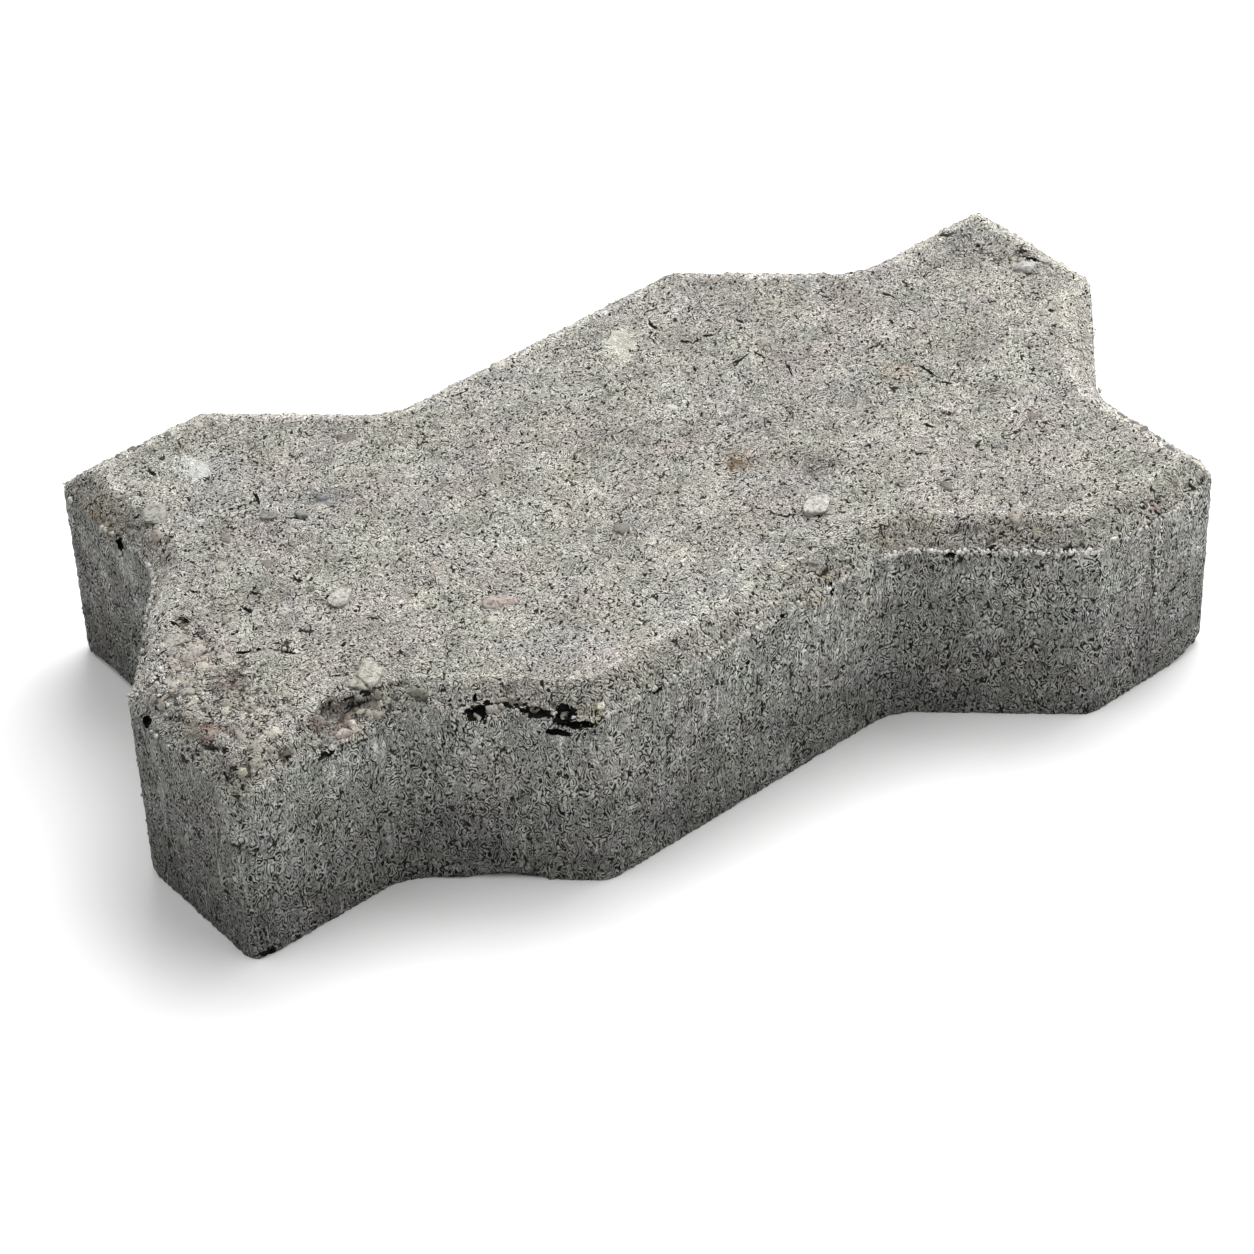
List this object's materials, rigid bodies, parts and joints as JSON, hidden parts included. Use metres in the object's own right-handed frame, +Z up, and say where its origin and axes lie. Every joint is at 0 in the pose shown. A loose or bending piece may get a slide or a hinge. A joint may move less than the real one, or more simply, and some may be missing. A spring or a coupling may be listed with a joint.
{
  "type": "concrete paving stone",
  "caption": "Interlocking concrete paving stone with zig-zag sides and a chamfered top edge, laid flat to make driveways, paths and yards.",
  "frame": {"origin": "middle of the underside, halfway along and across the stone", "axes": "+X along the stone, +Y across it, +Z up through the chamfered top face"},
  "size_m": [0.241, 0.1284, 0.05],
  "materials": {
    "concrete": "rough cast concrete, open grey texture with sand grains, pits and a few pale pebbles, weathered"
  },
  "bodies": {
    "root": {"paving_stone": "concrete"}
  },
  "joints": []
}
